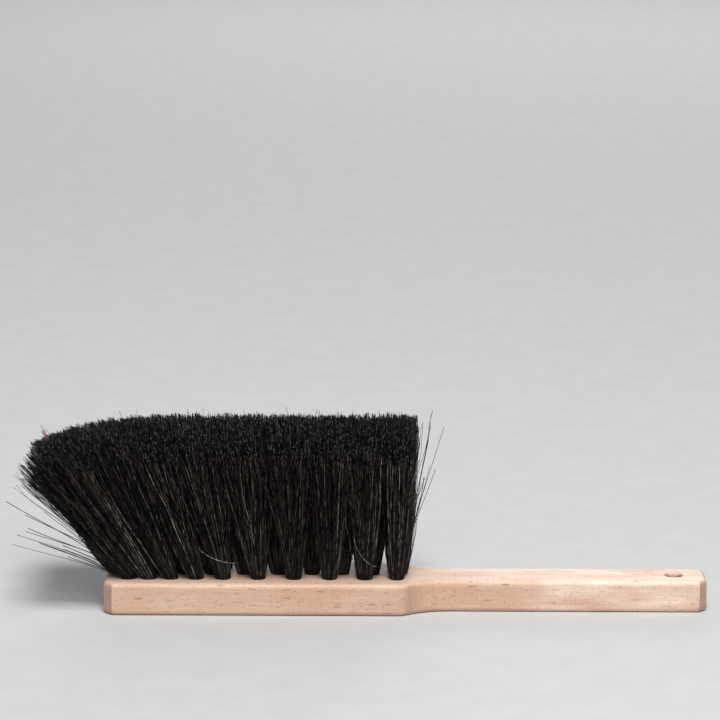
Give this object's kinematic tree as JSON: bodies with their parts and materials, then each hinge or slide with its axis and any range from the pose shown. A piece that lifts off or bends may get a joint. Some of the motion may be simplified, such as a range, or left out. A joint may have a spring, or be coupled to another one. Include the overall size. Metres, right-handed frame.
{
  "type": "bee brush",
  "caption": "Soft hand brush for moving bees: flat beech stock with a slim handle and hang hole, and rows of long dark hair tufts that fan out over the nose.",
  "frame": {"origin": "middle of the stock's flat back face", "axes": "+X from the nose to the butt of the handle, +Z out of the tuft holes, +Y across the stock"},
  "size_m": [0.3722, 0.0878, 0.1053],
  "materials": {
    "beech": "matte",
    "horsehair": "satin",
    "anchor_steel": "satin"
  },
  "bodies": {
    "root": {"beech_stock": "beech", "anchor_wires": "anchor_steel", "tuft_front_01": "horsehair", "tuft_front_02": "horsehair", "tuft_front_03": "horsehair", "tuft_front_04": "horsehair", "tuft_front_05": "horsehair", "tuft_front_06": "horsehair", "tuft_front_07": "horsehair", "tuft_front_08": "horsehair", "tuft_front_09": "horsehair", "tuft_front_10": "horsehair", "tuft_middle_01": "horsehair", "tuft_middle_02": "horsehair", "tuft_middle_03": "horsehair", "tuft_middle_04": "horsehair", "tuft_middle_05": "horsehair", "tuft_middle_06": "horsehair", "tuft_middle_07": "horsehair", "tuft_middle_08": "horsehair", "tuft_middle_09": "horsehair", "tuft_middle_10": "horsehair", "tuft_middle_11": "horsehair", "tuft_back_01": "horsehair", "tuft_back_02": "horsehair", "tuft_back_03": "horsehair", "tuft_back_04": "horsehair", "tuft_back_05": "horsehair", "tuft_back_06": "horsehair", "tuft_back_07": "horsehair", "tuft_back_08": "horsehair", "tuft_back_09": "horsehair", "tuft_back_10": "horsehair"}
  },
  "joints": []
}
